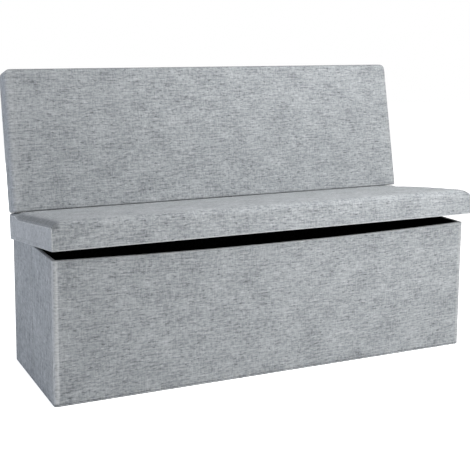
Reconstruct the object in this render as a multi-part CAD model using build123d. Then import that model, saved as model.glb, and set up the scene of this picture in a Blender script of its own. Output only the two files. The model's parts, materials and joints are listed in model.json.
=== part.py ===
from build123d import *
import math
import os

# Millimetres. X runs along the bench, the front faces -Y and Z is up.
# The origin is the middle of the box's footprint, on the floor.
bench_length = 1140.0
box_depth = 372.0
seat_height = 384.0
lid_thickness = 44.5
skirt_drop = 22.0
front_dip = 9.0
seat_crown = 2.0
backrest_height = 361.0
backrest_thickness = 64.0
backrest_shelf = 54.0

# The rest position: the lid stands ajar and the backrest leans on its stop.
lid_ajar = 7.0
backrest_lean = 5.2

# Sheets, boards, rails and foam.
fabric = 1.5
lining = 1.0
wall_board = 9.0
floor_board = 3.0
floor_fabric = 1.0
lid_board = 9.0
skirt_strip = 2.0
front_rail = 10.0
front_foam = 10.5
thin_panel = 3.0
frame_depth = 40.0
frame_width = 40.0

# Clearances, and how far a cutting block reaches past what it cuts.
wall_lift = 0.5
lid_gap = 0.5
side_clearance = 1.5
front_clearance = 3.0
fold_gap = 1.2
crease_gap = 0.3
knuckle_gap = 0.35
pin_clearance = 0.05
cut_reach = 50.0

# Hems, roundings and corded seams of the folding walls.
long_hem = 10.0
short_hem = 6.0
edge_hem = 4.0
corner_radius = 9.0
crease_radius = 3.0
inner_radius = 4.0
top_radius = 3.0
cord_radius = 0.9

# Padding: how far a padded edge rolls off inwards and downwards.
seat_end_roll = 30.0
seat_front_roll = 16.0
seat_roll_drop = 16.0
seat_flat = 120.0
seat_corner = 8.0
backrest_roll = 16.0
backrest_roll_drop = 11.0
backrest_crown = 2.0
backrest_flat = 90.0
backrest_corner = 16.0
backrest_foot_corner = 6.0
backrest_rear_bevel = 5.0
roll_steps = 3

# Butt hinges, the same for the lid and for the backrest.
hinge_length = 60.0
hinge_inset = 120.0
leaf_width = 25.0
leaf_thickness = 1.2
knuckle_count = 3
knuckle_radius = 2.2
knuckle_split = 0.1
pin_radius = 1.1
backrest_axis_setback = 2.0

# Values that follow from the sizes above.
wall = fabric + wall_board + lining
floor_top = floor_board + 2 * floor_fabric
wall_bottom = floor_top + wall_lift
half_bench = bench_length / 2
strip_inside = half_bench - fabric - skirt_strip
half_box = strip_inside - lining - side_clearance
half_depth = box_depth / 2
inner_x = half_box - wall
inner_y = half_depth - wall
fold_y = inner_y - fold_gap
leaf_offset = knuckle_radius + knuckle_gap
lid_underside = seat_height - lid_thickness
box_height = lid_underside - lid_gap
lid_axis_y = half_depth + leaf_offset
lid_axis_z = box_height + lid_gap / 2
skirt_bottom = box_height - skirt_drop
rail_inside = -half_depth - front_clearance - lining
rail_outside = rail_inside - front_rail
lid_front = rail_outside - front_foam - fabric
board_bottom = lid_underside + lining
board_top = board_bottom + lid_board
lid_back = half_depth - fabric
shelf_top = seat_height - seat_crown
shelf_front = half_depth - backrest_shelf
rest_axis_z = shelf_top + leaf_offset
hinge_reach = half_bench - hinge_inset
hinge_places = (-hinge_reach, 0, hinge_reach)

os.makedirs("parts", exist_ok=True)


def save(node, *solids):
    shape = solids[0] if len(solids) == 1 else Compound(children=list(solids))
    export_step(shape, f"parts/{node}.step")


def block(x0, x1, y0, y1, z0, z1):
    middle = Pos((x0 + x1) / 2, (y0 + y1) / 2, (z0 + z1) / 2)
    return middle * Box(x1 - x0, y1 - y0, z1 - z0)


def upright_rod(x, y, radius, z0, z1):
    return Pos(x, y, (z0 + z1) / 2) * Cylinder(radius, z1 - z0)


def along_x_rod(radius, x0, x1):
    return Pos((x0 + x1) / 2, 0, 0) * Rot(Y=90) * Cylinder(radius, x1 - x0)


def round_upright(body, x, y, radius):
    near = Vertex(x, y, box_height / 2)
    edge = body.edges().filter_by(Axis.Z).sort_by_distance(near)[0]
    return fillet(edge, radius)


def round_top(body, radius):
    return fillet(body.faces().sort_by(Axis.Z)[-1].edges(), radius)


# What is cut away above a wall, or above the sheets in it (lower down): straight, or dipping to the middle.
def level_top(lower):
    return block(-half_box, half_box, 0, wall, box_height - lower, box_height + cut_reach)


def dipped_top(lower):
    radius = (half_box ** 2 + front_dip ** 2) / (2 * front_dip)
    middle = Pos(0, wall / 2, box_height - front_dip - lower + radius)
    return middle * Rot(X=90) * Cylinder(radius, 2 * wall)


# A wall is drawn with its outer face on y = 0, looking along -Y.
def wall_layers(sleeve, length, hem, top):
    reach = length / 2 - hem
    low = wall_bottom + edge_hem
    board = block(-reach, reach, fabric, fabric + wall_board, low, box_height) - top(edge_hem)
    sheet = block(-reach, reach, fabric + wall_board, wall, low, box_height) - top(edge_hem)
    return sleeve - board - sheet, board, sheet


def save_wall(node, place, layers):
    for layer, solid in zip(("cover", "board", "lining"), layers):
        save(f"{node}_{layer}", place * solid)


# The front and rear walls run the full length and hold the corded seams at both ends.
def long_wall(top):
    sleeve = block(-half_box, half_box, 0, wall, wall_bottom, box_height) - top(0)
    for side in (-1, 1):
        sleeve = round_upright(sleeve, side * half_box, 0, corner_radius)
    sleeve = round_top(sleeve, top_radius)
    cover, board, sheet = wall_layers(sleeve, 2 * half_box, long_hem, top)
    for side in (-1, 1):
        groove = upright_rod(side * inner_x, wall + fold_gap, cord_radius, 0, box_height)
        cover = cover - groove
        sheet = sheet - groove
    return cover, board, sheet


# Half of an end wall: crease is the sign of the local X end that meets the other half.
def end_half(crease):
    length = fold_y - crease_gap
    end = crease * length / 2
    sleeve = block(-length / 2, length / 2, 0, wall, wall_bottom, box_height)
    sleeve = round_upright(sleeve, end, 0, crease_radius)
    sleeve = round_upright(sleeve, -end, wall, inner_radius)
    sleeve = round_top(sleeve, top_radius)
    return wall_layers(sleeve, length, short_hem, level_top)


def seam_cord(x, y):
    return upright_rod(x, y, cord_radius, wall_bottom + edge_hem, box_height - edge_hem)


save_wall("front_wall", Pos(0, -half_depth, 0), long_wall(dipped_top))
save_wall("rear_wall", Pos(0, half_depth, 0) * Rot(Z=180), long_wall(level_top))
half_middle = (fold_y + crease_gap) / 2
for end_name, side in (("left", -1), ("right", 1)):
    for half_name, toward in (("rear", 1), ("front", -1)):
        place = Pos(side * half_box, toward * half_middle, 0) * Rot(Z=side * 90)
        save_wall(f"{end_name}_{half_name}", place, end_half(-side * toward))
    save(f"{end_name}_crease_cord", seam_cord(side * (half_box + crease_gap), 0))
save("rear_corner_cords", seam_cord(-inner_x, fold_y), seam_cord(inner_x, fold_y))
save("front_corner_cords", seam_cord(-inner_x, -fold_y), seam_cord(inner_x, -fold_y))

# The floor: a thin board sealed in its own fabric sleeve, under all four walls.
floor_sleeve = block(-half_box, half_box, -half_depth, half_depth, 0, floor_top)
floor_sleeve = fillet(floor_sleeve.edges().filter_by(Axis.Z), corner_radius)
floor_x = half_box - long_hem
floor_y = half_depth - long_hem
floor_core = block(-floor_x, floor_x, -floor_y, floor_y, floor_fabric, floor_fabric + floor_board)
save("floor_cover", floor_sleeve - floor_core)
save("floor_board", floor_core)


# One level of a padded form: a rectangle at height z, with one radius at its near and one at its far corners.
def level(x, y0, y1, z, near_radius, far_radius):
    outline = Pos(0, (y0 + y1) / 2, z) * Rectangle(2 * x, y1 - y0)
    outline = fillet(outline.vertices().group_by(Axis.Y)[0], near_radius)
    return fillet(outline.vertices().group_by(Axis.Y)[-1], far_radius)


# The levels of a rolled edge, from the straight side to the face.
def roll_levels(x, y0, y1, face, rise, end_roll, side_roll, radii):
    levels = []
    for step in range(roll_steps + 1):
        turn = math.radians(90 * step / roll_steps)
        ends = end_roll * (1 - math.cos(turn))
        sides = side_roll * (1 - math.cos(turn))
        z = face - rise * (1 - math.sin(turn))
        levels.append(level(x - ends, y0 + sides, y1 - sides, z, *radii))
    return levels


# The lid's outer form, drawn in by inset: straight skirt, rolled edges, crowned seat, level rear shelf.
def lid_form(inset):
    x = half_bench - inset
    front = lid_front + inset
    back = half_depth + seat_flat
    low = skirt_bottom + inset
    top = shelf_top - inset
    radii = (seat_corner - inset, seat_corner - inset)
    levels = [level(x, front, back, low, *radii)]
    levels += roll_levels(x, front, back, top, seat_roll_drop, seat_end_roll, seat_front_roll, radii)
    levels.append(level(x - seat_flat, front + seat_flat, half_depth, top + seat_crown, *radii))
    whole = loft(levels, ruled=True)
    body = whole & block(-x, x, front, half_depth - inset, low, top + cut_reach)
    return body - block(-x, x, shelf_front - seat_corner, half_depth, top, top + cut_reach)


lid_pose = Pos(0, lid_axis_y, lid_axis_z) * Rot(X=-lid_ajar) * Pos(0, -lid_axis_y, -lid_axis_z)
box_space = block(
    -half_box - side_clearance,
    half_box + side_clearance,
    -half_depth - front_clearance,
    half_depth + cut_reach,
    skirt_bottom - cut_reach,
    lid_underside,
)
lined_space = block(
    -strip_inside,
    strip_inside,
    rail_inside,
    half_depth + cut_reach,
    skirt_bottom - cut_reach,
    board_bottom,
)
lid_sheet = block(-strip_inside, strip_inside, rail_inside, lid_back, lid_underside, board_bottom)
stuffing = lid_form(fabric) - lined_space
lid_skin = lid_form(0) - box_space - stuffing - lid_sheet
core_bottom = skirt_bottom + fabric
seat_core = stuffing & block(-half_bench, half_bench, rail_outside, half_depth, board_top, seat_height)
rail_block = block(-half_bench, half_bench, shelf_front, half_depth, board_top, seat_height)
edge_block = block(-half_bench, half_bench, lid_front, rail_outside, skirt_bottom, seat_height)
save("lid_cover", lid_pose * lid_skin)
save("lid_lining", lid_pose * lid_sheet)
lid_panel = block(-strip_inside, strip_inside, rail_inside, lid_back, board_bottom, board_top)
save("lid_board", lid_pose * lid_panel)
lid_rail = block(-strip_inside, strip_inside, rail_outside, rail_inside, core_bottom, board_top)
save("lid_front_rail", lid_pose * lid_rail)
for end_name, side in (("left", -1), ("right", 1)):
    x0, x1 = sorted((side * strip_inside, side * (strip_inside + skirt_strip)))
    strip = block(x0, x1, rail_outside, lid_back, core_bottom, board_top)
    save(f"lid_{end_name}_skirt", lid_pose * strip)
save("lid_rear_rail", lid_pose * (seat_core & rail_block))
save("seat_foam", lid_pose * (seat_core - rail_block))
save("seat_edge_foam", lid_pose * (stuffing & edge_block))


# The backrest lies on its rear face here: X along the bench, Y up the backrest, Z to its front.
def backrest_form(inset):
    x = half_bench - inset
    high = backrest_height - inset
    front = backrest_thickness - backrest_crown - inset
    radii = (backrest_foot_corner - inset, backrest_corner - inset)
    bead = backrest_rear_bevel - inset
    flat = backrest_flat
    levels = [level(x - bead, inset + bead, high - bead, inset, *radii)]
    levels.append(level(x, inset, high, backrest_rear_bevel, *radii))
    levels += roll_levels(x, inset, high, front, backrest_roll_drop, backrest_roll, backrest_roll, radii)
    levels.append(level(x - flat, inset + flat, high - flat, front + backrest_crown, *radii))
    return loft(levels, ruled=True)


axis_pose = lid_pose * Pos(0, shelf_front, rest_axis_z)
lean_pose = axis_pose * Rot(X=-backrest_lean)
axis_depth = backrest_thickness - backrest_axis_setback
backrest_pose = lean_pose * Pos(0, axis_depth, leaf_offset) * Rot(X=90)
core = backrest_form(fabric)
panel_back = fabric + thin_panel
panel_front = panel_back + frame_depth
foam_back = panel_front + thin_panel
rail_low = fabric + frame_width
rail_high = backrest_height - fabric - frame_width
stile_inside = half_bench - fabric - frame_width


def core_slice(x0, x1, y0, y1, z0, z1):
    return backrest_pose * (core & block(x0, x1, y0, y1, z0, z1))


save("backrest_cover", backrest_pose * (backrest_form(0) - core))
full = (-half_bench, half_bench)
tall = (0, backrest_height)
between = (rail_low, rail_high)
frame = (panel_back, panel_front)
save("backrest_rear_panel", core_slice(*full, *tall, 0, panel_back))
save("backrest_front_panel", core_slice(*full, *tall, panel_front, foam_back))
save("backrest_foam", core_slice(*full, *tall, foam_back, backrest_thickness))
save("backrest_bottom_rail", core_slice(*full, 0, rail_low, *frame))
save("backrest_top_rail", core_slice(*full, rail_high, backrest_height, *frame))
save("backrest_left_stile", core_slice(-half_bench, -stile_inside, *between, *frame))
save("backrest_right_stile", core_slice(stile_inside, half_bench, *between, *frame))
save("backrest_middle_stile", core_slice(-frame_width / 2, frame_width / 2, *between, *frame))


# A leaf reaches along +Y from an axis on X; face is the side of the axis, in Z, that it lies on.
# It holds every second knuckle, starting with the one numbered first.
def hinge_leaf(face, first):
    z0, z1 = sorted((face * (leaf_offset - leaf_thickness), face * leaf_offset))
    half = hinge_length / 2
    pitch = hinge_length / knuckle_count
    leaf = block(-half, half, leaf_offset, leaf_width, z0, z1)
    for place in range(first, knuckle_count, 2):
        x0 = place * pitch - half + knuckle_split
        x1 = x0 + pitch - 2 * knuckle_split
        leaf = leaf + block(x0, x1, 0, leaf_offset, z0, z1)
        leaf = leaf + along_x_rod(knuckle_radius, x0, x1)
    return leaf - along_x_rod(pin_radius + pin_clearance, -half, half)


lower_leaf = hinge_leaf(-1, 0)
upper_leaf = hinge_leaf(1, 1)
hinge_pin = along_x_rod(pin_radius, -hinge_length / 2, hinge_length / 2)


def save_hinges(node, pose, piece):
    save(node, *[pose * Pos(x, 0, 0) * piece for x in hinge_places])


box_axis = Pos(0, lid_axis_y, lid_axis_z)
save_hinges("lid_hinge_lower_leaves", box_axis * Rot(X=-90), lower_leaf)
save_hinges("lid_hinge_upper_leaves", lid_pose * box_axis * Rot(X=90), upper_leaf)
save_hinges("lid_hinge_pins", box_axis, hinge_pin)
save_hinges("backrest_hinge_lower_leaves", axis_pose, lower_leaf)
save_hinges("backrest_hinge_upper_leaves", lean_pose, upper_leaf)
save_hinges("backrest_hinge_pins", axis_pose, hinge_pin)
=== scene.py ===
import bpy
import json
import math
import numpy as np
from mathutils import Matrix, Vector


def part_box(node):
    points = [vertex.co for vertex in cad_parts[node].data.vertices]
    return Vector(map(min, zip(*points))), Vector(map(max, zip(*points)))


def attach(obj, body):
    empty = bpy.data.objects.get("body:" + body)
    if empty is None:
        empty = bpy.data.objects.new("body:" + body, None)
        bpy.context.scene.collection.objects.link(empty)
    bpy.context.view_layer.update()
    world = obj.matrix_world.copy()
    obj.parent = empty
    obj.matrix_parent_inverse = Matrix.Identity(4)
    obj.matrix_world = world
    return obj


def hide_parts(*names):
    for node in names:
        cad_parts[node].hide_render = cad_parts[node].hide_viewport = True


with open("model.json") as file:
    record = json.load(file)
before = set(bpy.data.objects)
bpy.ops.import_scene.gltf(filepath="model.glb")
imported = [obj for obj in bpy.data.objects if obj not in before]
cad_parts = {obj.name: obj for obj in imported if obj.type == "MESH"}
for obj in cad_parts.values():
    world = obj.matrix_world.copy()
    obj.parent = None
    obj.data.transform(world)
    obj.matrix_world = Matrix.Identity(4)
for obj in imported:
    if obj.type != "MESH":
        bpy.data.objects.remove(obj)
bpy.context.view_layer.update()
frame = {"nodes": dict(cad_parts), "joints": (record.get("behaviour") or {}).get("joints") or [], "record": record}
nodes = frame["nodes"]
scene = bpy.context.scene
hinges = {joint["name"]: Vector(joint["pos_m"]) for joint in frame["joints"]}
touch = 1e-6  # a point nearer than this to a grid line lies on it
print("frame loaded:", len(nodes), "CAD nodes")


def linear(hexText):  # sRGB hex to the linear colour that the shaders take
    parts = [int(hexText[k:k + 2], 16) / 255 for k in (1, 3, 5)]
    return [c / 12.92 if c <= 0.04045 else ((c + 0.055) / 1.055) ** 2.4 for c in parts] + [1.0]


# settings are properties or input values, links are sockets; "1" and _1 name an input by its number
def addNode(tree, kind, settings=None, **links):
    node = tree.nodes.new(kind)
    for key, value in (settings or {}).items():
        if hasattr(node, key):
            setattr(node, key, value)
        else:
            node.inputs[int(key) if key.isdigit() else key].default_value = value
    for key, socket in links.items():
        tree.links.new(socket, node.inputs[int(key[1:]) if key[1:].isdigit() else key.replace("_", " ")])
    return node


def newMaterial(name):
    material = bpy.data.materials.new(name)
    material.use_nodes = True
    tree = material.node_tree
    tree.nodes.clear()
    shader = addNode(tree, "ShaderNodeBsdfPrincipled")
    addNode(tree, "ShaderNodeOutputMaterial", Surface=shader.outputs[0])
    return material, tree, shader


noiseGrit = 0.6  # roughness of each noise pattern
rangeKeys = ("From Min", "From Max", "To Min", "To Max")

# the pale tone also serves for painted light on the edges, and the fleck tone for painted seam shade
heather = {
    "shadow": "#5b6064", "thread": "#a2a6a9", "light": "#d0d3d5", "fleck": "#3f4448", "pale": "#dcdedf",
    "shadowStop": 0.10, "threadStop": 0.50, "lightStop": 0.92, "yarn": 0.0012,
    "strewn": {"fleck": (0.62, 0.72, 0, 0.6), "pale": (0.32, 0.24, 0, 0.5)},  # range of the noise, then its share
    "wearRange": (0.3, 0.6, 0.3, 0.8), "crossing": 0.2, "bump": 0.5, "relief": 0.0012,
    "roughness": 0.92, "specular": 0.25, "sheen": 0.12, "sheenRoughness": 0.5,
}
heatherNoise = {  # one blotch in metres, and the tone that it adds over a range of the noise
    "slub": {"blotch": (0.048, 0.0039, 1), "detail": 2, "offset": (0, 0, 0), "range": (0.25, 0.75, 0.34, 0.66)},
    "weft": {"blotch": (0.011, 0.0037, 1), "detail": 3, "offset": (3.1, 7.7, 0), "range": (0.25, 0.75, -0.2, 0.2)},
    "warp": {"blotch": (0.0036, 0.018, 1), "detail": 2, "offset": (1.7, 2.9, 0), "range": (0.25, 0.75, -0.12, 0.12)},
    "mottle": {"blotch": (0.08, 0.06, 1), "detail": 2, "offset": (0, 0, 0), "range": (0.3, 0.7, -0.07, 0.07)},
    "fleck": {"blotch": (0.016, 0.0040, 1), "detail": 1, "offset": (9.3, 4.1, 0)},
}


# Polyester linen-look upholstery, plain woven from heathered yarn: uneven slubs read as dark and light dashes.
# The yarn is drawn 1.2 mm thick and a dash covers three or four yarns, because the real 0.6 mm yarn is too
# fine to show.
def heatherFabric(name, onSurface, highlightShare=0.0):
    material, tree, shader = newMaterial(name)
    if onSurface:
        place = addNode(tree, "ShaderNodeUVMap", {"uv_map": "weave"}).outputs[0]
        across, up = addNode(tree, "ShaderNodeSeparateXYZ", Vector=place).outputs[:2]
    else:
        place = addNode(tree, "ShaderNodeTexCoord").outputs["Object"]
        across, depth, up = addNode(tree, "ShaderNodeSeparateXYZ", Vector=place).outputs
        across = addNode(tree, "ShaderNodeMath", {"operation": "ADD"}, _0=across, _1=depth).outputs[0]
    # one tone across the thickness of each yarn
    row = addNode(tree, "ShaderNodeMath", {"operation": "SNAP", "1": heather["yarn"]}, _0=up)
    yarns = addNode(tree, "ShaderNodeCombineXYZ", X=across, Y=row.outputs[0])
    noise, tone = {}, None
    for label, look in heatherNoise.items():
        stretch = {"Scale": [1 / size for size in look["blotch"]], "Location": look["offset"]}
        place = addNode(tree, "ShaderNodeMapping", stretch, Vector=yarns.outputs[0])
        grain = {"Scale": 1.0, "Detail": look["detail"], "Roughness": noiseGrit}
        noise[label] = addNode(tree, "ShaderNodeTexNoise", grain, Vector=place.outputs[0]).outputs[0]
        if "range" in look:
            added = addNode(tree, "ShaderNodeMapRange", dict(zip(rangeKeys, look["range"])), Value=noise[label])
            if tone:
                added = addNode(tree, "ShaderNodeMath", {"operation": "ADD"}, _0=tone, _1=added.outputs[0])
            tone = added.outputs[0]
    ramp = addNode(tree, "ShaderNodeValToRGB", Fac=tone)
    stops = ramp.color_ramp.elements
    for k, tint in enumerate(("shadow", "light")):
        stops[k].position = heather[tint + "Stop"]
        stops[k].color = linear(heather[tint])
    stops.new(heather["threadStop"]).color = linear(heather["thread"])
    colour = ramp.outputs[0]
    for tint, bounds in heather["strewn"].items():
        share = addNode(tree, "ShaderNodeMapRange", dict(zip(rangeKeys, bounds)), Value=noise["fleck"])
        mix = {"data_type": "RGBA", "7": linear(heather[tint])}
        colour = addNode(tree, "ShaderNodeMix", mix, _0=share.outputs[0], _6=colour).outputs[2]
    # cloth turns paler where its edges are rubbed and where light is painted onto them, more on some yarns than on
    # others
    rubAndPaintedLight = addNode(tree, "ShaderNodeAttribute", {"attribute_name": "edgeWearAndPaintedLight"}).outputs["Fac"]
    # a paler copy of the cloth gets a painted highlight all over
    rubAndPaintedLight = addNode(tree, "ShaderNodeMath", {"operation": "ADD", "1": highlightShare}, _0=rubAndPaintedLight)
    patchy = addNode(tree, "ShaderNodeMapRange", dict(zip(rangeKeys, heather["wearRange"])), Value=noise["weft"])
    wornAndPaintedLight = addNode(tree, "ShaderNodeMath", {"operation": "MULTIPLY"}, _0=rubAndPaintedLight.outputs[0], _1=patchy.outputs[0])
    # painted shade: along the seams the cloth darkens towards the fleck colour, where shade falls
    seam = addNode(tree, "ShaderNodeAttribute", {"attribute_name": "paintedSeamShade"}).outputs["Fac"]
    for share, tint in ((wornAndPaintedLight.outputs[0], "pale"), (seam, "fleck")):
        mix = {"data_type": "RGBA", "7": linear(heather[tint])}
        colour = addNode(tree, "ShaderNodeMix", mix, _0=share, _6=colour).outputs[2]
    tree.links.new(colour, shader.inputs["Base Color"])
    # the over and under of plain weave
    waves = []
    for run in (across, up):
        turns = addNode(tree, "ShaderNodeMath", {"operation": "MULTIPLY", "1": math.pi / heather["yarn"]}, _0=run)
        waves.append(addNode(tree, "ShaderNodeMath", {"operation": "SINE"}, _0=turns.outputs[0]).outputs[0])
    crossing = addNode(tree, "ShaderNodeMath", {"operation": "MULTIPLY"}, _0=waves[0], _1=waves[1]).outputs[0]
    lift = {"operation": "MULTIPLY_ADD", "1": heather["crossing"]}
    relief = addNode(tree, "ShaderNodeMath", lift, _0=crossing, _2=tone).outputs[0]
    height = {"Strength": heather["bump"], "Distance": heather["relief"]}
    bump = addNode(tree, "ShaderNodeBump", height, Height=relief)
    tree.links.new(bump.outputs[0], shader.inputs["Normal"])
    shader.inputs["Roughness"].default_value = heather["roughness"]
    shader.inputs["Specular IOR Level"].default_value = heather["specular"]
    shader.inputs["Sheen Weight"].default_value = heather["sheen"]
    shader.inputs["Sheen Roughness"].default_value = heather["sheenRoughness"]
    return material


# one noise laid between two tones; look gives the tones, the blotch in metres and the range of the noise
def twoToned(name, look):
    material, tree, shader = newMaterial(name)
    place = addNode(tree, "ShaderNodeTexCoord").outputs["Object"]
    stretch = {"Scale": [1 / size for size in look["blotch"]]}
    place = addNode(tree, "ShaderNodeMapping", stretch, Vector=place).outputs[0]
    grain = {"Scale": 1.0, "Detail": look["detail"], "Roughness": noiseGrit}
    noise = addNode(tree, "ShaderNodeTexNoise", grain, Vector=place).outputs[0]
    share = addNode(tree, "ShaderNodeMapRange", dict(zip(rangeKeys, look["range"])), Value=noise)
    mix = {"data_type": "RGBA", "6": linear(look["ground"]), "7": linear(look["figure"])}
    colour = addNode(tree, "ShaderNodeMix", mix, _0=share.outputs[0])
    tree.links.new(colour.outputs[2], shader.inputs["Base Color"])
    if "roughness" in look:
        shader.inputs["Roughness"].default_value = look["roughness"]
    return material, tree, shader, noise


# Black spun-bonded polypropylene: matt, with faint pressed fibres that only show close up.
lining = {
    "ground": "#191a1b", "figure": "#313335", "blotch": (0.006, 0.0015, 0.006), "detail": 4, "range": (0.4, 0.7),
    "roughness": 0.95, "specular": 0.1, "bump": 0.3, "relief": 0.0004,
}


def spunBondedLining():
    material, tree, shader, fibre = twoToned("spunBondedLining", lining)
    height = {"Strength": lining["bump"], "Distance": lining["relief"]}
    bump = addNode(tree, "ShaderNodeBump", height, Height=fibre)
    tree.links.new(bump.outputs[0], shader.inputs["Normal"])
    shader.inputs["Specular IOR Level"].default_value = lining["specular"]
    return material


# Pressed steel with zinc plating, black on the hinges and bright on the screws: metal with fine streaks, paler
# where it is rubbed.
blackZinc = {
    "ground": "#1d1f21", "figure": "#4b4e51", "blotch": (0.02, 0.0008, 0.0008), "detail": 3, "range": (0.35, 0.7),
    "polish": (0.3, 0.7, 0.55, 0.4),
}
brightZinc = {**blackZinc, "ground": "#8c8f92", "figure": "#b9bcbe", "blotch": (0.002, 0.002, 0.002)}


def platedSteel(name, look):
    material, tree, shader, streak = twoToned(name, look)
    polish = addNode(tree, "ShaderNodeMapRange", dict(zip(rangeKeys, look["polish"])), Value=streak)
    tree.links.new(polish.outputs[0], shader.inputs["Roughness"])
    shader.inputs["Metallic"].default_value = 1.0
    return material


# Medium density fibreboard, sawn and left raw: warm brown with fine paler fibre specks.
rawBoard = {
    "ground": "#8a6a48", "figure": "#b08d63", "blotch": (0.004, 0.004, 0.004), "detail": 5, "range": (0.35, 0.7),
    "roughness": 0.8,
}
# Planed pine: long pale and darker growth bands along the rail.
planedPine = {
    "ground": "#d2b183", "figure": "#a97f4f", "blotch": (0.25, 0.006, 0.006), "detail": 3, "range": (0.4, 0.65),
    "roughness": 0.6,
}
# Cut polyurethane foam: cream, matt, with open pores.
cutFoam = {
    "ground": "#d9d2b8", "figure": "#e9e3cf", "blotch": (0.003, 0.003, 0.003), "detail": 2, "range": (0.4, 0.6),
    "roughness": 1.0,
}
# Spun polyester sewing thread: a little paler than the cloth, with the light and dark of its twisted plies.
spunThread = {
    "ground": "#7d8388", "figure": "#b4b9bd", "blotch": (0.0008, 0.0008, 0.0008), "detail": 1, "range": (0.4, 0.6),
    "roughness": 0.6,
}

coverFabric = heatherFabric("wovenHeatherFabric", True)
cordFabric = heatherFabric("heatherSeamCord", False)
# painted highlight: a paler copy of the cloth for the welts, the hem binding and the crease cords
highlightWeltFabric = heatherFabric("paleHeatherWeltHighlight", False, highlightShare=0.8)
blackLining = spunBondedLining()
fibreboard = twoToned("rawFibreboard", rawBoard)[0]
pine = twoToned("planedPine", planedPine)[0]
foam = twoToned("cutFoam", cutFoam)[0]
steel = platedSteel("blackZincSteel", blackZinc)
zinc = platedSteel("brightZincSteel", brightZinc)
thread = twoToned("spunPolyesterThread", spunThread)[0]
print("materials made")

cadFinish = {
    "heather_fabric": cordFabric, "black_lining": blackLining, "foam": foam,
    "fibreboard": fibreboard, "softwood": pine, "hinge_steel": steel,
}
ownFinish = {  # the corner cords inside the box take the black lining, which also paints them as dark as the shade in the gap
    # the crease cords take the paler cloth, a painted highlight along the creases
    "left_crease_cord": highlightWeltFabric, "right_crease_cord": highlightWeltFabric,
    "front_corner_cords": blackLining, "rear_corner_cords": blackLining,
}
for part in frame["record"]["subparts"]:
    mesh = nodes[part["node"]].data
    mesh.materials.clear()
    mesh.materials.append(ownFinish.get(part["node"], cadFinish[part["material_slot"]]))


def gridLines(low, high, lowMargin, highMargin, step, cuts=5):  # close lines in both margins, even ones between
    ease = np.array([1 - math.cos(math.pi / 2 * k / cuts) for k in range(cuts)])
    start, stop = low + lowMargin, high - highMargin
    between = np.linspace(start, stop, max(2, round((stop - start) / step) + 1))
    return np.concatenate([low + lowMargin * ease, between, (high - highMargin * ease)[::-1]])


# points, quads and sides (0 -x, 1 +x, 2 -y, 3 +y, 4 -z, 5 +z) of a box of grid lines
def boxShell(xs, ys, zs):
    shell = np.zeros((len(xs), len(ys), len(zs)), bool)
    shell[[0, -1]] = True
    shell[:, [0, -1]] = True
    shell[:, :, [0, -1]] = True
    spots = np.argwhere(shell)
    index = np.full(shell.shape, -1)
    index[tuple(spots.T)] = np.arange(len(spots))
    points = np.stack([xs[spots[:, 0]], ys[spots[:, 1]], zs[spots[:, 2]]], 1)
    quads, sides = [], []
    for axis in range(3):
        for end in (0, -1):
            face = np.take(index, end, axis=axis)
            quad = np.stack([face[:-1, :-1], face[1:, :-1], face[1:, 1:], face[:-1, 1:]], -1).reshape(-1, 4)
            quads.append(quad[:, ::-1] if (end == 0) != (axis == 1) else quad)
            sides.append(np.full(len(quad), axis * 2 - end))
    return points, np.concatenate(quads), np.concatenate(sides)


def roundEdges(points, low, high, radius):  # rolls each edge of a box shell; radius is one number for each axis
    core = np.clip(points, low + radius, high - radius)
    out = (points - core) / radius
    return core + radius * out / np.maximum(np.linalg.norm(out, axis=1, keepdims=True), 1.0)


# turns one square corner, seen along the third axis, to an arc
def roundCorner(points, axes, corner, inward, radius):
    first, second = axes
    a = np.clip(1 - (points[:, first] - corner[0]) * inward[0] / radius, 0, 1)
    b = np.clip(1 - (points[:, second] - corner[1]) * inward[1] / radius, 0, 1)
    shiftA = a - a * np.sqrt(1 - b * b / 2)
    shiftB = b - b * np.sqrt(1 - a * a / 2)
    moved = points.copy()
    moved[:, first] += inward[0] * radius * shiftA
    moved[:, second] += inward[1] * radius * shiftB
    return moved


weaveLay = {"endScale": 0.75, "sideShift": 0.37}


# metres along weft and warp on each side; the weft runs up the ends, drawn a little coarser
def flatCharts(points):
    x, y, z = points.T
    ends = (z * weaveLay["endScale"], y * weaveLay["endScale"])
    charts = [ends, ends, (x, z), (x, z), (x, y), (x, y)]
    return [np.stack(chart, 1) + weaveLay["sideShift"] * side for side, chart in enumerate(charts)]


def arcAlong(lines, heights):  # length along a profile, counted from where the lines pass zero
    steps = np.hypot(np.diff(lines), np.diff(heights))
    arc = np.concatenate([[0], np.cumsum(steps)])
    return arc - np.interp(0, lines, arc)


def weaveCoordinates(charts, quads, sides):  # the chart of its own side for each corner of each face
    weave = np.empty(quads.shape + (2,))
    for side, chart in enumerate(charts):
        weave[sides == side] = chart[quads[sides == side]]
    return weave


creaseAngle = 50  # degrees; a sharper edge shows as a crease


def makePiece(name, points, quads, weave, materials, finish=None, marks=None):
    mesh = bpy.data.meshes.new(name)
    mesh.from_pydata(points.tolist(), [], quads.tolist())
    layer = mesh.uv_layers.new(name="weave")
    layer.data.foreach_set("uv", weave.reshape(-1).astype(np.float32))
    for material in materials:
        mesh.materials.append(material)
    if finish is not None:
        mesh.polygons.foreach_set("material_index", finish.astype(np.int32))
    for key, values in (marks or {}).items():
        mesh.attributes.new(key, "FLOAT", "POINT").data.foreach_set("value", values.astype(np.float32))
    mesh.polygons.foreach_set("use_smooth", np.ones(len(quads), bool))
    mesh.validate()
    mesh.update()
    mesh.set_sharp_from_angle(angle=math.radians(creaseAngle))
    piece = bpy.data.objects.new(name, mesh)
    scene.collection.objects.link(piece)
    return piece


unevenness = {"turns": ((17, 11), (-23, 31), (39, -19)), "seedShift": 1.7, "waveShift": 2.1}  # radians per metre


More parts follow.
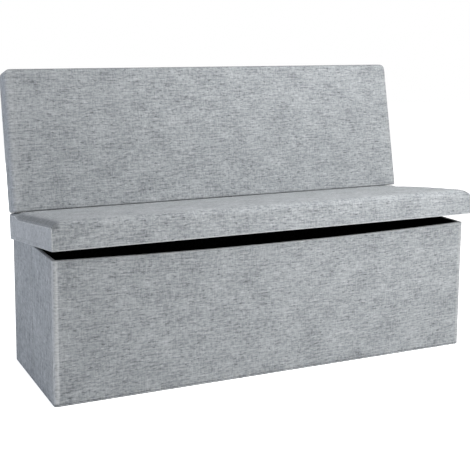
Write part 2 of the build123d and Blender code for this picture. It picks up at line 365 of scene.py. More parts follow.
def gentleWave(a, b, seed):  # smooth unevenness from -1 to 1, with a wavelength of 0.15 to 0.4 m
    s = unevenness
    wave = np.zeros_like(a)
    for k, (turnA, turnB) in enumerate(s["turns"]):
        wave += np.sin(turnA * a + turnB * b + s["seedShift"] * seed + s["waveShift"] * k) / len(s["turns"])
    return wave


def newTree(name, sizes, labels):  # a geometry tree: a path or points come in, with a named input for each size
    tree = bpy.data.node_groups.new(name, "GeometryNodeTree")
    tree.interface.new_socket("Geometry", in_out="INPUT", socket_type="NodeSocketGeometry")
    for label in labels:
        socket = tree.interface.new_socket(label, in_out="INPUT", socket_type="NodeSocketFloat")
        socket.default_value = sizes[label]
    tree.interface.new_socket("Geometry", in_out="OUTPUT", socket_type="NodeSocketGeometry")
    return tree, addNode(tree, "NodeGroupInput").outputs, addNode(tree, "NodeGroupOutput")


def closeTree(tree, result, geometry, material):
    whole = addNode(tree, "GeometryNodeRealizeInstances", Geometry=geometry)
    dressed = addNode(tree, "GeometryNodeSetMaterial", {"Material": material}, Geometry=whole.outputs[0])
    tree.links.new(dressed.outputs[0], result.inputs[0])
    return tree


stitch = {
    "pitch": 0.0062, "length": 0.0040, "width": 0.0010, "proud": 0.0001,
    "shortest": 0.85, "longest": 1.08, "seed": 5, "segments": 6, "rings": 4,
}


def stitchTree():  # lock stitches along a path: slim beads, one for each pitch, of slightly uneven length
    s = stitch
    tree, given, result = newTree("lockStitches", s, ("pitch", "length", "width"))
    path = addNode(tree, "GeometryNodeMeshToCurve", Mesh=given["Geometry"])
    places = addNode(tree, "GeometryNodeResampleCurve", {"mode": "LENGTH"}, Curve=path.outputs[0],
                     Length=given["pitch"])
    along = addNode(tree, "GeometryNodeInputTangent")
    turn = addNode(tree, "FunctionNodeAlignRotationToVector", {"axis": "X"}, Vector=along.outputs[0])
    uneven = addNode(tree, "FunctionNodeRandomValue", {"2": s["shortest"], "3": s["longest"], "Seed": s["seed"]})
    length = addNode(tree, "ShaderNodeMath", {"operation": "MULTIPLY"}, _0=given["length"], _1=uneven.outputs[1])
    size = addNode(tree, "ShaderNodeCombineXYZ", X=length.outputs[0], Y=given["width"], Z=given["width"])
    shape = {"Segments": s["segments"], "Rings": s["rings"], "Radius": 0.5}  # 1 across, so the scale is the size
    bead = addNode(tree, "GeometryNodeMeshUVSphere", shape)
    row = addNode(tree, "GeometryNodeInstanceOnPoints", Points=places.outputs[0], Instance=bead.outputs[0],
                  Rotation=turn.outputs[0], Scale=size.outputs[0])
    smooth = addNode(tree, "GeometryNodeSetShadeSmooth", Geometry=row.outputs[0])
    return closeTree(tree, result, smooth.outputs[0], thread)


welt = {"radius": 0.0016, "resolution": 8}
hemBinding = {"radius": 0.0012}


def weltTree():  # a corded edge: a round cord along a path, closed at both ends
    tree, given, result = newTree("cordedEdge", welt, ("radius",))
    path = addNode(tree, "GeometryNodeMeshToCurve", Mesh=given["Geometry"])
    ring = addNode(tree, "GeometryNodeCurvePrimitiveCircle", {"Resolution": welt["resolution"]},
                   Radius=given["radius"])
    cord = addNode(tree, "GeometryNodeCurveToMesh", {"Fill Caps": True}, Curve=path.outputs[0],
                   Profile_Curve=ring.outputs[0])
    smooth = addNode(tree, "GeometryNodeSetShadeSmooth", Geometry=cord.outputs[0])
    # the cord is made of the paler cloth, a painted highlight along its ridge
    return closeTree(tree, result, smooth.outputs[0], highlightWeltFabric)


screw = {
    "head": 0.0030, "height": 0.0007, "slot": 0.0007,
    "topShare": 0.72, "slotShare": 1.1, "vertices": 20, "turnMost": 1.57, "seed": 11,
}


def screwTree():  # low countersunk heads with a cross recess, each turned to its own angle
    s = screw
    tree, given, result = newTree("crossHeadScrews", s, ("head", "height", "slot"))
    rim = addNode(tree, "ShaderNodeMath", {"operation": "MULTIPLY", "1": s["topShare"]}, _0=given["head"])
    head = addNode(tree, "GeometryNodeMeshCone", {"Vertices": s["vertices"]}, Radius_Top=rim.outputs[0],
                   Radius_Bottom=given["head"], Depth=given["height"])
    long = addNode(tree, "ShaderNodeMath", {"operation": "MULTIPLY", "1": s["slotShare"]}, _0=given["head"])
    lift = addNode(tree, "ShaderNodeCombineXYZ", Z=given["height"])
    for sides in ({"X": long.outputs[0], "Y": given["slot"]}, {"X": given["slot"], "Y": long.outputs[0]}):
        size = addNode(tree, "ShaderNodeCombineXYZ", Z=given["height"], **sides)
        bar = addNode(tree, "GeometryNodeMeshCube", Size=size.outputs[0])
        bar = addNode(tree, "GeometryNodeTransform", Geometry=bar.outputs[0], Translation=lift.outputs[0])
        head = addNode(tree, "GeometryNodeMeshBoolean", {"operation": "DIFFERENCE", "solver": "EXACT"},
                       Mesh_1=head.outputs[0], Mesh_2=bar.outputs[0])
    facing = addNode(tree, "GeometryNodeInputNamedAttribute", {"data_type": "FLOAT_VECTOR", "Name": "facing"})
    turn = addNode(tree, "FunctionNodeAlignRotationToVector", {"axis": "Z"}, Vector=facing.outputs[0])
    spin = addNode(tree, "FunctionNodeRandomValue", {"2": 0.0, "3": s["turnMost"], "Seed": s["seed"]})
    angle = addNode(tree, "ShaderNodeCombineXYZ", Z=spin.outputs[1])
    own = addNode(tree, "FunctionNodeRotateRotation", {"rotation_space": "LOCAL"}, Rotation=turn.outputs[0],
                  Rotate_By=angle.outputs[0])
    heads = addNode(tree, "GeometryNodeInstanceOnPoints", Points=given["Geometry"], Instance=head.outputs[0],
                    Rotation=own.outputs[0])
    return closeTree(tree, result, heads.outputs[0], zinc)


def growPiece(name, tree, paths, sizes, body, facing=None):  # runs a tree on paths, keeps a plain mesh
    mesh = bpy.data.meshes.new(name + "Path")
    edges, first = [], 0
    for path in paths:
        edges += [(first + k, first + k + 1) for k in range(len(path) - 1)]
        first += len(path)
    mesh.from_pydata(np.concatenate(paths).tolist(), edges, [])
    if facing is not None:
        layer = mesh.attributes.new("facing", "FLOAT_VECTOR", "POINT")
        layer.data.foreach_set("vector", np.asarray(facing, np.float32).reshape(-1))
    carrier = bpy.data.objects.new(name + "Path", mesh)
    scene.collection.objects.link(carrier)
    modifier = carrier.modifiers.new(name, "NODES")
    modifier.node_group = tree
    for item in tree.interface.items_tree:
        if item.in_out == "INPUT" and item.name in sizes:
            modifier[item.identifier] = sizes[item.name]
    grown = bpy.data.meshes.new_from_object(carrier.evaluated_get(bpy.context.evaluated_depsgraph_get()))
    bpy.data.objects.remove(carrier)
    piece = bpy.data.objects.new(name, grown)
    scene.collection.objects.link(piece)
    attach(piece, body)
    return piece


stitches = stitchTree()
weltCord = weltTree()
screws = screwTree()

wallSleeve = {
    "edge": 0.003, "foldEdge": 0.0006, "sharpFoot": 0.002, "corner": 0.009, "inside": 0.004, "frontDip": 0.009,
    "step": 0.03, "cuts": 7, "wave": 0.0006, "waveFade": 0.05, "face": 0.002,
    "liningShows": 0.0005, "liningTurn": 0.003, "creaseReach": 0.00025, "cornerReach": 0.001,
    "band": 0.014, "bandEdge": 0.0005, "leftBandPaintedHighlight": 0.85, "otherBands": 0.35, "wearStart": 0.42, "wearMost": 0.85,
    "hem": 0.010, "hemEnd": 0.004, "hemStop": 0.016, "hemPoints": 40, "hemTrim": 4,
}
wallNodes = {
    "front_wall": "front_wall", "rear_wall": "base",
    "left_rear": "left_rear_half", "left_front": "left_front_half",
    "right_rear": "right_rear_half", "right_front": "right_front_half",
}


def topSag(x, sag, half):  # how far the top edge hangs down between the corners
    return sag * (1 - np.clip(x / half, -1, 1) ** 2)


def makeWall(node, body, seed):
    s = wallSleeve
    low, high = [np.array(corner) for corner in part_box(node + "_cover")]
    thin = 0 if high[0] - low[0] < high[1] - low[1] else 1
    along = 1 - thin
    outward = -1 if (low + high)[thin] < 0 else 1
    outside, inside = (low, high) if outward < 0 else (high, low)
    inside[thin] += outward * s["liningShows"]
    if thin == 0:  # half of an end wall reaches to its neighbours, so that no light shows through the folds
        away = 1 if (low + high)[1] > 0 else -1
        crease, corner = (low, high) if away > 0 else (high, low)
        crease[1] -= away * s["creaseReach"]
        corner[1] += away * s["cornerReach"]
    radius = np.full(3, s["edge"])
    radius[along] = s["foldEdge"]
    margin = [s["band"]] * 3
    margin[thin] = s["edge"]
    lines = [gridLines(low[k], high[k], margin[k], margin[k], s["step"], s["cuts"]) for k in range(3)]
    points, quads, sides = boxShell(*lines)
    flat = points.copy()
    points = roundEdges(points, low - np.array((0, 0, s["sharpFoot"])), high, radius)  # nearly sharp at the foot
    wornAndPaintedLight = np.linalg.norm(points - flat, axis=1) / (s["wearStart"] * s["edge"])
    if thin == 1:
        onFace = np.abs(flat[:, 1] - inside[1]) > s["edge"]
        for x, inward in ((low[0], 1), (high[0], -1)):
            points = roundCorner(points, (0, 1), (x, outside[1]), (inward, -outward), s["corner"])
            # the turned hem shows as a band, rubbed paler and with a painted highlight, palest at the left front
            pale = s["leftBandPaintedHighlight"] if node == "front_wall" and inward > 0 else s["otherBands"]
            onBand = np.abs(flat[:, 0] - x) < s["band"] - s["bandEdge"]
            wornAndPaintedLight = np.maximum(wornAndPaintedLight, pale * onFace * onBand)
    else:
        points = roundCorner(points, (0, 1), (inside[0], corner[1]), (outward, -away), s["inside"])
    rise = gentleWave(points[:, along], points[:, 2], seed) * s["wave"]
    toHem = np.minimum(points[:, 2] - low[2], high[2] - points[:, 2])
    outer = np.abs(points[:, thin] - outside[thin]) < s["face"]
    points[:, thin] += outward * rise * np.clip(toHem / s["waveFade"], 0, 1) * outer
    weave = weaveCoordinates(flatCharts(points), quads, sides)
    sag = s["frontDip"] if node == "front_wall" else 0.0
    points[:, 2] -= topSag(points[:, 0], sag, high[0]) * (points[:, 2] - low[2]) / (high[2] - low[2])
    lined = sides == 2 * thin + (outward < 0)
    if thin == 0:  # the lining turns into the folds, up to the seam
        middle = points[quads][:, :, 0].mean(axis=1)
        lined |= (sides // 2 == 1) & (np.abs(middle - outside[0]) > s["liningTurn"])
    marks = {"edgeWearAndPaintedLight": np.clip(wornAndPaintedLight, 0, s["wearMost"])}
    wall = makePiece(node + "Sleeve", points, quads, weave, [coverFabric, blackLining], lined, marks)
    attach(wall, body)
    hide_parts(node + "_cover")
    # the hems along the top and the bottom, sewn through from outside
    start, stop = low[along] + s["hemEnd"], high[along] - s["hemEnd"]
    if thin == 0:  # the row stops short of the fold, where two rows would meet
        start, stop = (start + s["hemStop"], stop) if away > 0 else (start, stop - s["hemStop"])
    ends = np.linspace(start, stop, s["hemPoints"])
    rows = []
    for z in (low[2] + s["hem"], high[2] - s["hem"]):
        row = np.full((len(ends), 3), outside[thin])
        row[:, along] = ends
        row[:, 2] = z
        row[:, 2] -= topSag(row[:, 0], sag, high[0]) * (z - low[2]) / (high[2] - low[2])
        rise = gentleWave(ends, row[:, 2], seed) * s["wave"] * min(1, s["hem"] / s["waveFade"])
        row[:, thin] += outward * (rise + stitch["proud"])
        rows.append(row[s["hemTrim"]:-s["hemTrim"]] if thin == 1 else row)
    growPiece(node + "HemStitches", stitches, rows, stitch, body)


for seed, (node, body) in enumerate(wallNodes.items()):
    makeWall(node, body, seed)

floorSleeve = {"edge": 0.0012, "corner": 0.009, "step": 0.04, "edgeCuts": 3}


def makeFloorSleeve():
    s = floorSleeve
    low, high = [np.array(corner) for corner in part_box("floor_cover")]
    lines = [gridLines(low[k], high[k], s["corner"], s["corner"], s["step"]) for k in (0, 1)]
    lines.append(gridLines(low[2], high[2], s["edge"], s["edge"], s["step"], s["edgeCuts"]))
    points, quads, sides = boxShell(*lines)
    points = roundEdges(points, low, high, np.full(3, s["edge"]))
    for x, inX in ((low[0], 1), (high[0], -1)):
        for y, inY in ((low[1], 1), (high[1], -1)):
            points = roundCorner(points, (0, 1), (x, y), (inX, inY), s["corner"])
    weave = weaveCoordinates(flatCharts(points), quads, sides)
    lined = sides > 3  # lining above and below, the walls' own cloth round the edge
    floor = makePiece("floorSleeve", points, quads, weave, [coverFabric, blackLining], lined)
    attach(floor, "base")
    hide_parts("floor_cover")


makeFloorSleeve()
print("walls and floor sewn")


def softRoll(near):  # share of the drop at a stuffed edge that turns in a quarter round; near is 1 at the edge
    return 1 - np.sqrt(1 - np.clip(near, 0, 1) ** 2)


rimSlope = 0.1  # share of the drop that a sewn edge makes by its slope


def sewnRoll(near):  # the same at an edge with a seam, where the face slopes down and stops at a crisp rim
    return (1 - rimSlope) * softRoll(near) + rimSlope * np.clip(near, 0, 1) ** 2


def joinDrops(first, second, power=3):  # two edges meeting at a corner; neither goes past the full drop
    return np.minimum((first ** power + second ** power) ** (1 / power), 1)


swelling = {
    "cell": 0.016, "depth": 0.02, "frames": 20, "quality": 6, "mass": 0.3, "stiffness": 15, "bending": 0.4,
    "growth": 0.006, "pressure": 4,
}


def swollenPanel(width, height, cap):  # a stuffed panel, sewn round its edge, blown up by cloth simulation
    s = swelling
    xs = np.linspace(-width / 2, width / 2, round(width / s["cell"]) + 1)
    ys = np.linspace(0, height, round(height / s["cell"]) + 1)
    points, quads = boxShell(xs, ys, np.linspace(-s["depth"], 0, 3))[:2]
    mesh = bpy.data.meshes.new("panelCloth")
    mesh.from_pydata(points.tolist(), [], quads.tolist())
    cloth = bpy.data.objects.new("panelCloth", mesh)
    scene.collection.objects.link(cloth)
    top = points[:, 2] > -touch
    within = (np.abs(points[:, 0]) < width / 2 - touch) & (points[:, 1] > touch) & (points[:, 1] < height - touch)
    free = within & top
    group = cloth.vertex_groups.new(name="sewn")
    group.add(np.flatnonzero(~free).tolist(), 1.0, "REPLACE")
    sim = cloth.modifiers.new("swell", "CLOTH")
    sim.settings.vertex_group_mass = "sewn"
    sim.settings.quality = s["quality"]
    sim.settings.mass = s["mass"]
    sim.settings.tension_stiffness = s["stiffness"]
    sim.settings.compression_stiffness = s["stiffness"]
    sim.settings.bending_stiffness = s["bending"]
    sim.settings.shrink_min = -s["growth"]
    sim.settings.use_pressure = True
    sim.settings.uniform_pressure_force = s["pressure"]
    sim.settings.effector_weights.gravity = 0
    for step in range(1, s["frames"] + 1):
        scene.frame_set(step)
    shaped = cloth.evaluated_get(bpy.context.evaluated_depsgraph_get()).to_mesh()
    moved = np.empty(len(points) * 3)
    shaped.vertices.foreach_get("co", moved)
    rise = moved.reshape(-1, 3)[:, 2]
    scene.frame_set(1)
    field = np.zeros((len(xs), len(ys)))
    column = np.rint((points[top, 0] + width / 2) / width * (len(xs) - 1)).astype(int)
    row = np.rint(points[top, 1] / height * (len(ys) - 1)).astype(int)
    field[column, row] = np.maximum(rise[top], 0)
    field *= cap / max(field.max(), touch)
    bpy.data.objects.remove(cloth)
    print(f"panel swollen: {width:.3f} x {height:.3f} m, highest {field.max() * 1000:.1f} mm")
    return field


def sample(field, a, b):  # bilinear reading of a swollen panel; a and b run from 0 to 1 across it
    a = np.clip(a, 0, 1) * (field.shape[0] - 1)
    b = np.clip(b, 0, 1) * (field.shape[1] - 1)
    i = np.minimum(a.astype(int), field.shape[0] - 2)
    j = np.minimum(b.astype(int), field.shape[1] - 2)
    u, v = a - i, b - j
    return ((1 - u) * (1 - v) * field[i, j] + u * (1 - v) * field[i + 1, j]
            + (1 - u) * v * field[i, j + 1] + u * v * field[i + 1, j + 1])


def tilt(points, angle, pivot):  # turns points about the X axis through pivot
    turn = Matrix.Rotation(math.radians(angle), 3, "X")
    return (points - np.array(pivot)) @ np.array(turn).T + np.array(pivot)


lidPad = {
    "ajar": 7.0, "end": 0.570, "front": -0.212, "back": 0.186, "skirtBottom": 0.317, "underside": 0.3405,
    "top": 0.382, "crown": 0.002, "endRoll": 0.034, "frontRoll": 0.017, "drop": 0.0155, "corner": 0.004,
    "shelfFront": 0.132, "shelfDrop": 0.4, "shelfRoll": 0.010, "shelfLevel": 0.008, "endFade": 0.03,
    "endStrip": 0.0040, "stripFold": 0.0004, "frontStrip": 0.0230, "fold": 0.0008,
    "step": 0.011, "rearMargin": 0.003, "hemMargin": 0.002, "rimMargin": 0.008, "skirtCuts": 3,
    "footBead": 0.0038, "footRise": 0.098, "footGap": 0.0030, "footLine": 0.004, "beadFade": 0.02,
    "beadStart": 0.2,
    "swell": 0.003, "groove": 0.002, "grooveIn": 0.006, "grooveReach": 0.004,
    "leftRubAndPaintedLight": 0.42, "rightRubAndPaintedLight": 0.25, "hemRub": 0.9,
    "leftShade": 0.65, "rightShade": 0.4, "shelfShade": 0.6, "shadeIn": 0.010, "shadeReach": 0.008,
}


def fullEnds(y):  # 1 on the shelf under the backrest, where the lid's ends stay full, fading to 0 on the seat
    return np.clip((y - lidPad["shelfFront"]) / lidPad["endFade"] + 1, 0, 1)


def makeLid():
    s = lidPad
    strip = s["end"] - s["endStrip"]
    rail = s["front"] + s["frontStrip"]
    foot = s["shelfFront"] - s["footGap"]
    rim = s["top"] - s["drop"]
    xs = gridLines(-s["end"], s["end"], s["endRoll"], s["endRoll"], s["step"])
    xs = np.sort(np.concatenate([xs, [-strip, -strip + s["stripFold"], strip - s["stripFold"], strip]]))
    ys = gridLines(s["front"], s["back"], s["frontRoll"], s["rearMargin"], s["step"])
    ys = np.sort(np.concatenate([ys, [rail, rail + s["fold"], foot - s["footLine"], foot, foot + s["fold"]]]))
    zs = gridLines(s["skirtBottom"], rim, s["hemMargin"], s["rimMargin"], s["step"], s["skirtCuts"])
    points, quads, sides = boxShell(xs, ys, zs)
    x, y, z = points.copy().T
    topFace = z > zs[-1] - touch
    bottomFace = z < zs[0] + touch
    hollow = (np.abs(x) < strip - touch) & (y > rail + touch)
    # the underside is pushed up inside the skirt, and the rear face starts at the underside
    points[:, 2] = np.where(bottomFace & hollow, s["underside"], points[:, 2])
    rear = (y > ys[-1] - touch) & hollow & ~bottomFace & ~topFace
    share = (z - zs[0]) / (zs[-1] - zs[0])
    points[:, 2] = np.where(rear, s["underside"] + share * (zs[-1] - s["underside"]), points[:, 2])
    # the padded top: rolled ends and front, a shallow crown, the simulated swell, and a level rear shelf
    fromRim = s["end"] - np.abs(x)
    nearEnd = 1 - fromRim / s["endRoll"]
    nearFront = 1 - (y - s["front"]) / s["frontRoll"]
    overRail = fullEnds(y)
    shelfRoll = s["shelfDrop"] * softRoll(1 - fromRim / s["shelfRoll"])
    endShare = (1 - overRail) * sewnRoll(nearEnd) + overRail * shelfRoll
    face = s["top"] - s["drop"] * joinDrops(endShare, softRoll(nearFront))
    field = swollenPanel(2 * s["end"], s["shelfFront"] - s["front"], s["swell"])
    depth = (y - s["front"]) / (s["shelfFront"] - s["front"])
    face += sample(field, (x + s["end"]) / (2 * s["end"]), depth)
    face += s["crown"] * np.clip(1 - nearEnd, 0, 1) * np.sin(np.pi * np.clip(depth, 0, 1))
    # the padding crowds up against the backrest
    towardFoot = np.clip((y - s["footRise"]) / (foot - s["footRise"]), 0, 1)
    bead = np.where(y < foot + touch, np.sin(np.pi / 2 * towardFoot) ** 2, 0)
    face += s["footBead"] * bead * np.clip(fromRim / s["beadFade"] - s["beadStart"], 0, 1)
    # the end seams sink into the pad, and run out at the front
    sunk = (1 - overRail) * np.clip(1 - nearFront, 0, 1)
    face -= sunk * s["groove"] * np.exp(-((fromRim - s["grooveIn"]) / s["grooveReach"]) ** 2)
    level = np.clip((y - s["shelfFront"]) / s["shelfLevel"], 0, 1)
    face = face * (1 - level) + np.minimum(face, s["top"]) * level
    points[:, 2] = np.where(topFace, face, points[:, 2])
    for side in (-1, 1):
        points = roundCorner(points, (0, 1), (side * s["end"], s["front"]), (-side, 1), s["corner"])
    # edges pale where the cloth turns over, rubbed at the hem and with painted light on the ends, more on the left;
    # painted shade along the seams where top and skirt are sewn together, darker on the left and less on the shelf
    hemWear = np.where(bottomFace & ~hollow, s["hemRub"], 0.0)
    # painted light on the end faces, brighter on the left
    endWearAndPaintedLight = np.where(fromRim < touch, np.where(x < 0, s["leftRubAndPaintedLight"], s["rightRubAndPaintedLight"]), 0.0)
    shade = np.where(x < 0, s["leftShade"], s["rightShade"]) * (1 - s["shelfShade"] * overRail)
    # painted shade along the end seams
    endPaintedShade = topFace * np.exp(-((fromRim - s["shadeIn"]) / s["shadeReach"]) ** 2) * shade
    marks = {"edgeWearAndPaintedLight": np.maximum(hemWear, endWearAndPaintedLight), "paintedSeamShade": endPaintedShade}
    inner = (sides == 4) & hollow[quads].any(axis=1)
    # one cloth from the top down over the front and the ends
    arcX = arcAlong(xs, -s["drop"] * sewnRoll(1 - (s["end"] - np.abs(xs)) / s["endRoll"]))
    arcY = arcAlong(ys, -s["drop"] * softRoll(1 - (ys - s["front"]) / s["frontRoll"]))
    across, deep = np.interp(x, xs, arcX), np.interp(y, ys, arcY)
    below = zs[-1] - z
    charts = flatCharts(points)
    charts[0] = np.stack([arcX[0] - below, deep], 1)
    charts[1] = np.stack([arcX[-1] + below, deep], 1)
    charts[2] = np.stack([across, arcY[0] - below], 1)
    charts[5] = np.stack([across, deep], 1)
    weave = weaveCoordinates(charts, quads, sides)
    points = tilt(points, -s["ajar"], hinges["lid_hinge"])
    lid = makePiece("seatPad", points, quads, weave, [coverFabric, blackLining], inner, marks)
    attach(lid, "lid")
    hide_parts("lid_cover", "seat_foam", "seat_edge_foam")


lidTrim = {
    "weltIn": 0.0010, "weltUp": 0.0006, "weltTurn": 0.003, "weltDrop": 0.004, "weltStart": 0.006,
    "turnAngles": (25, 50, 75, 90), "seamPoints": 60, "dropPoints": 8,
    "bindingIn": 0.0006, "bindingUp": 0.0008, "hem": 0.009,
    "rearGap": 0.004, "corner": 0.003, "cornerGap": 0.01, "arcAngles": (30, 60, 90),
    "sidePoints": 20, "frontPoints": 60,
}


def skirtPath(inset, z):  # round the skirt from the left rear to the right rear
    s, t = lidPad, lidTrim
    x, y, r = s["end"] - inset, s["front"] + inset, t["corner"]
    left = [(-x, v, z) for v in np.linspace(s["back"] - t["rearGap"], y + r, t["sidePoints"])]
    left += [(-x + r * (1 - math.cos(a)), y + r * (1 - math.sin(a)), z) for a in np.radians(t["arcAngles"])]
    front = [(u, y, z) for u in np.linspace(-x + t["cornerGap"], x - t["cornerGap"], t["frontPoints"])]
    right = [(-u, v, w) for u, v, w in left[::-1]]
    return tilt(np.array(left + front + right), -s["ajar"], hinges["lid_hinge"])


def makeLidTrim():  # corded seams round both end panels, a bound lower edge, and the hem stitches above it
    s, t = lidPad, lidTrim
    rim, hem = s["top"] - s["drop"], s["front"] + t["weltIn"]
    top = rim + t["weltUp"]
    cords = []
    for side in (-1, 1):
        edge = side * (s["end"] - t["weltIn"])
        seam = [(edge, y, top + s["drop"] * (1 - s["shelfDrop"]) * fullEnds(y))
                for y in np.linspace(s["back"] - t["rearGap"], hem + t["weltTurn"], t["seamPoints"])]
        turn = [(edge, hem + t["weltTurn"] * (1 - math.sin(a)), top - t["weltDrop"] * (1 - math.cos(a)))
                for a in np.radians(t["turnAngles"])]
        drop = [(edge, hem, z)
                for z in np.linspace(rim - t["weltStart"], s["skirtBottom"] + t["weltIn"], t["dropPoints"])]
        cords.append(tilt(np.array(seam + turn + drop), -s["ajar"], hinges["lid_hinge"]))
    binding = skirtPath(t["bindingIn"], s["skirtBottom"] + t["bindingUp"])
    row = skirtPath(-stitch["proud"], s["skirtBottom"] + t["hem"])
    growPiece("lidEndWelts", weltCord, cords, welt, "lid")
    growPiece("lidEdgeBinding", weltCord, [binding], hemBinding, "lid")
    growPiece("lidHemStitches", stitches, [row], stitch, "lid")


backPad = {
    "lean": 5.2, "end": 0.570, "height": 0.361, "thick": 0.0635, "setback": 0.002, "lift": 0.00255,
    "crown": 0.002, "crownFade": 0.09, "ease": 0.004, "roll": 0.012, "drop": 0.008, "rearRoll": 0.005,
    "corner": 0.017, "footCorner": 0.006, "footRoll": 0.0025, "pull": 0.0015, "swell": 0.003,
    "step": 0.011, "boxMargin": 0.006, "boxStep": 0.012, "boxCuts": 3, "rearHem": 0.012, "sidePoints": 40,
    "topShade": 0.45, "rightShade": 0.3, "seamReach": 0.0025,
    "leftRubAndPaintedLight": 0.45, "rightRubAndPaintedLight": 0.1, "paleRimReach": 0.020, "boxingRub": 0.10,
}


def toBackrest(points):  # from an upright backrest on the axis of its hinge to its place at rest
    s = backPad
    moved = points + np.array((0, -s["setback"], s["lift"]))
    return tilt(moved, -lidPad["ajar"] - s["lean"], (0, 0, 0)) + np.array(hinges["backrest_hinge"])


def makeBackrest():
    s = backPad
    end, height, roll = s["end"], s["height"], s["roll"]
    front, rear = s["drop"] + s["ease"], s["thick"] - s["rearRoll"]
    xs = gridLines(-end, end, roll, roll, s["step"])
    ys = gridLines(front, rear, s["boxMargin"], s["boxMargin"], s["boxStep"], s["boxCuts"])
    zs = gridLines(0, height, roll, roll, s["step"])
    points, quads, sides = boxShell(xs, ys, zs)
    x, y, z = points.copy().T
    frontFace = y < ys[0] + touch
    rearFace = y > ys[-1] - touch
    toEnd, toTop = end - np.abs(x), height - z
    field = swollenPanel(2 * end, height, s["swell"])
    puff = sample(field, (x + end) / (2 * end), z / height)
    crown = s["crown"] * np.sin(np.pi * np.clip(z / height, 0, 1)) * np.clip(toEnd / s["crownFade"], 0, 1)
    footShare = s["footRoll"] / roll * softRoll(1 - z / s["footRoll"])
    rolled = joinDrops(softRoll(1 - toEnd / roll), np.maximum(softRoll(1 - toTop / roll), footShare))
    face = s["drop"] * rolled - puff - crown + s["ease"]
    points[:, 1] = np.where(frontFace, face, points[:, 1])
    bead = s["rearRoll"]
    behind = joinDrops(softRoll(1 - toEnd / bead), softRoll(1 - np.minimum(z, toTop) / bead))
    points[:, 1] = np.where(rearFace, s["thick"] - bead * behind, points[:, 1])
    # the sides are drawn in a little between the corners
    pull = s["pull"] * np.cos(np.pi * x / (2 * end)) * np.sin(np.pi * np.clip((y - front) / (rear - front), 0, 1))
    points[:, 2] += np.where(toTop < touch, -pull, 0) + np.where(z < touch, pull, 0)
    for side in (-1, 1):
        for level, inward, radius in ((0, 1, s["footCorner"]), (height, -1, s["corner"])):
            points = roundCorner(points, (0, 2), (side * end, level), (-side, inward), radius)
    # painted shade along the top and right rims at their seams; painted light on the left rim, which is also rubbed
    # paler
    topPaintedShade = s["topShade"] * np.exp(-(toTop / s["seamReach"]) ** 2)
    endPaintedShade = np.where(x > 0, s["rightShade"], 0) * np.exp(-(toEnd / s["seamReach"]) ** 2)
    # painted light on the left rim, with a little rubbing on the right
    rubAndPaintedLight = np.where(x > 0, s["rightRubAndPaintedLight"], s["leftRubAndPaintedLight"]) * np.exp(-(toEnd / s["paleRimReach"]) ** 2)
    marks = {"edgeWearAndPaintedLight": np.where(frontFace | rearFace, rubAndPaintedLight * frontFace, s["boxingRub"]),
             "paintedSeamShade": np.maximum(topPaintedShade, endPaintedShade) * frontFace}
    arcX = arcAlong(xs, s["drop"] * softRoll(1 - (end - np.abs(xs)) / roll))
    arcZ = arcAlong(zs, s["drop"] * softRoll(1 - np.minimum(zs, height - zs) / roll))
    charts = flatCharts(points)
    charts[2] = np.stack([np.interp(x, xs, arcX), np.interp(z, zs, arcZ)], 1)
    weave = weaveCoordinates(charts, quads, sides)
    back = makePiece("backrestPad", toBackrest(points), quads, weave, [coverFabric], None, marks)
    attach(back, "backrest")
    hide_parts("backrest_cover", "backrest_foam")
    # the cover is closed at the rear, with one row of stitches inside the edge
    right, low, high = end - s["rearHem"], s["rearHem"], height - s["rearHem"]
    ring = np.array([(-right, low), (right, low), (right, high), (-right, high), (-right, low)])
    shares = np.linspace(0, 1, s["sidePoints"])[:-1, None]
    row = np.concatenate([first + (second - first) * shares for first, second in zip(ring, ring[1:])])
    row = np.insert(row, 1, s["thick"] + stitch["proud"], axis=1)
    growPiece("backrestRearStitches", stitches, [toBackrest(row)], stitch, "backrest")


makeLid()
makeLidTrim()
makeBackrest()
print("lid and backrest upholstered")

hingeScrews = {
    "places": (-0.45, 0.0, 0.45), "spacing": 0.018, "fromAxis": 0.015, "lidFace": 0.00135, "flapFace": 0.00135,
}


def makeScrews():  # three heads in each hinge leaf, on the side that shows when the hinge is open
    s = hingeScrews
    ajar, whole = -lidPad["ajar"], -lidPad["ajar"] - backPad["lean"]
    leaves = {  # body, hinge, place of the row beside the axis, facing, turn at rest
        "lidLowerScrews": ("base", "lid_hinge", (-s["lidFace"], -s["fromAxis"]), (0, 1, 0), 0.0),
        "lidUpperScrews": ("lid", "lid_hinge", (-s["lidFace"], s["fromAxis"]), (0, 1, 0), ajar),
        "flapLowerScrews": ("lid", "backrest_hinge", (s["fromAxis"], -s["flapFace"]), (0, 0, 1), ajar),
        "flapUpperScrews": ("backrest", "backrest_hinge", (s["fromAxis"], s["flapFace"]), (0, 0, -1), whole),
    }
    for name, (body, hinge, (y, z), facing, angle) in leaves.items():
        heads = [(x + k * s["spacing"], y, z) for x in s["places"] for k in (-1, 0, 1)]
        heads = tilt(np.array(heads), angle, (0, 0, 0)) + np.array((0, *hinges[hinge][1:]))
        turned = np.repeat(tilt(np.array([facing], float), angle, (0, 0, 0)), len(heads), 0)
        growPiece(name, screws, [[head] for head in heads], screw, body, turned)


makeScrews()
print("hinges screwed on")

stage = {"floor": "#f4f4f4", "glow": 0.80, "world": 0.25, "size": 14.0}


def backgroundShare(tree):  # 1 where the camera, metal or glass sees the background, 0 where it only gives light
    path = addNode(tree, "ShaderNodeLightPath")
    seen = path.outputs["Is Camera Ray"]
    for ray in ("Is Glossy Ray", "Is Transmission Ray"):
        seen = addNode(tree, "ShaderNodeMath", {"operation": "MAXIMUM"}, _0=seen, _1=path.outputs[ray]).outputs[0]
    return seen


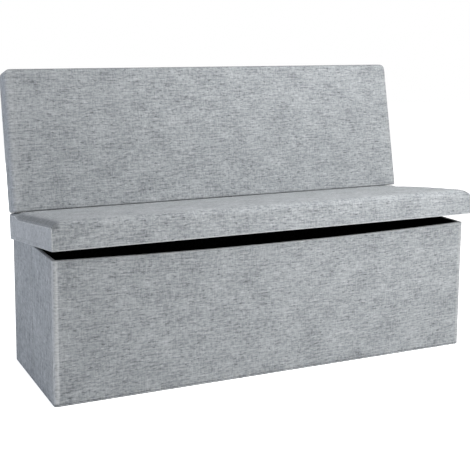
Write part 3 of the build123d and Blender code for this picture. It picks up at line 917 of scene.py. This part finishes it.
def makeFloor():
    mesh = bpy.data.meshes.new("studioFloor")
    half = stage["size"] / 2
    mesh.from_pydata([(-half, -half, 0), (half, -half, 0), (half, half, 0), (-half, half, 0)], [], [(0, 1, 2, 3)])
    floor = bpy.data.objects.new("studioFloor", mesh)
    scene.collection.objects.link(floor)
    material = bpy.data.materials.new("paperFloor")
    material.use_nodes = True
    tree = material.node_tree
    tree.nodes.clear()
    plain = addNode(tree, "ShaderNodeBsdfDiffuse", {"Color": linear(stage["floor"])})
    glow = addNode(tree, "ShaderNodeEmission", {"Strength": stage["glow"]})
    both = addNode(tree, "ShaderNodeAddShader", _0=plain.outputs[0], _1=glow.outputs[0])
    mix = addNode(tree, "ShaderNodeMixShader", _0=backgroundShare(tree), _1=plain.outputs[0], _2=both.outputs[0])
    addNode(tree, "ShaderNodeOutputMaterial", Surface=mix.outputs[0])
    mesh.materials.append(material)


def makeWorld():
    world = bpy.data.worlds.new("studioWorld")
    world.use_nodes = True
    tree = world.node_tree
    tree.nodes.clear()
    strength = addNode(tree, "ShaderNodeMapRange", {"To Min": stage["world"]}, Value=backgroundShare(tree))
    sky = addNode(tree, "ShaderNodeBackground", {"Color": linear("#ffffff")}, Strength=strength.outputs[0])
    addNode(tree, "ShaderNodeOutputWorld", Surface=sky.outputs[0])
    scene.world = world


lamps = {
    "keyLamp": {"from": (0.53, -1.1, 1.3), "to": (0.2, 0, 0.4), "power": 21.3, "size": 1.2, "colour": "#ffffff"},
    "topLamp": {"from": (0.4, -0.3, 2.6), "to": (0.3, 0, 0.3), "power": 15, "size": 1.2, "colour": "#ffffff"},
    "fillLamp": {"from": (-2.2, 0.3, 0.7), "to": (-0.5, 0, 0.25), "power": 11.2, "size": 1.4, "colour": "#e3ecff"},
    "rearLamp": {"from": (0.4, 3.6, 1.2), "to": (0, 0.2, 0.35), "power": 55, "size": 2.0, "colour": "#ffffff"},
}


def makeLamps():
    for name, s in lamps.items():
        data = bpy.data.lights.new(name, "AREA")
        data.energy = s["power"]
        data.size = s["size"]
        data.color = linear(s["colour"])[:3]
        lamp = bpy.data.objects.new(name, data)
        lamp.location = s["from"]
        lamp.rotation_euler = (Vector(s["to"]) - Vector(s["from"])).to_track_quat("-Z", "Y").to_euler()
        scene.collection.objects.link(lamp)


shot = {
    "place": (-1.1335, -2.3130, 0.8592), "yaw": 25.615, "pitch": 8.250, "roll": 0.420, "focal": 1003.2,
    "axisColumn": 236.2, "axisRow": 170.2, "image": 470.0, "sensor": 36.0, "reach": 50,
}


def makeCamera():
    s = shot
    data = bpy.data.cameras.new("studioCamera")
    data.sensor_width = s["sensor"]
    data.lens = s["focal"] / s["image"] * s["sensor"]
    data.shift_x = (s["image"] / 2 - s["axisColumn"]) / s["image"]
    data.shift_y = (s["axisRow"] - s["image"] / 2) / s["image"]
    data.clip_end = s["reach"]
    camera = bpy.data.objects.new("studioCamera", data)
    place = Matrix.Translation(s["place"])
    for angle, axis in ((-s["yaw"], "Z"), (90 - s["pitch"], "X"), (s["roll"], "Z")):
        place = place @ Matrix.Rotation(math.radians(angle), 4, axis)
    camera.matrix_world = place
    scene.collection.objects.link(camera)
    scene.camera = camera


makeFloor()
makeWorld()
makeLamps()
makeCamera()
scene.view_settings.view_transform = "Standard"
print("stage lit")
